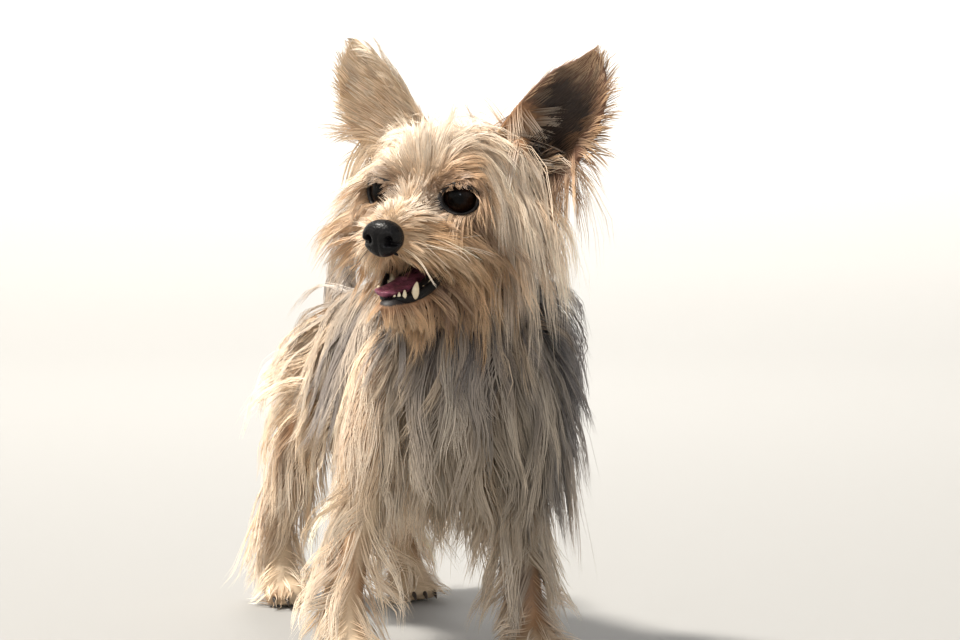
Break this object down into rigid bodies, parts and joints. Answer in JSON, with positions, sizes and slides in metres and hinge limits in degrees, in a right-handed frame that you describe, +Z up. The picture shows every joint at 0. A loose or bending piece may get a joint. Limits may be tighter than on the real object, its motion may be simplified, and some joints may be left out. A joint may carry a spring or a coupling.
{
  "type": "yorkshire terrier",
  "caption": "Small long-coated terrier standing with its head turned, a still life-size display model of the animal.",
  "frame": {"origin": "middle of the footprint of the whole animal, on the floor under its feet", "axes": "+Z up, the body faces -Y, +X is the animal's left side; the head is turned to its right"},
  "size_m": [0.152, 0.3342, 0.2935],
  "materials": {
    "coat_gold": "silky golden tan hair, paler at the tips",
    "coat_cream": "silky cream hair, fawn at the roots",
    "coat_steel": "silky steel grey hair under cream tips",
    "eye": "wet, very dark brown",
    "nose_leather": "moist pebbled black leather",
    "tongue": "wet pink flesh"
  },
  "bodies": {
    "root": {"torso": "coat_steel", "tail": "coat_steel", "neck": "coat_cream", "head": "coat_gold", "jaw": "coat_gold", "ear_left": "coat_gold", "ear_right": "coat_gold", "eye_left": "eye", "eye_right": "eye", "nose": "nose_leather", "tongue": "tongue", "leg_front_left": "coat_cream", "leg_front_right": "coat_cream", "leg_hind_left": "coat_cream", "leg_hind_right": "coat_cream"}
  },
  "joints": []
}
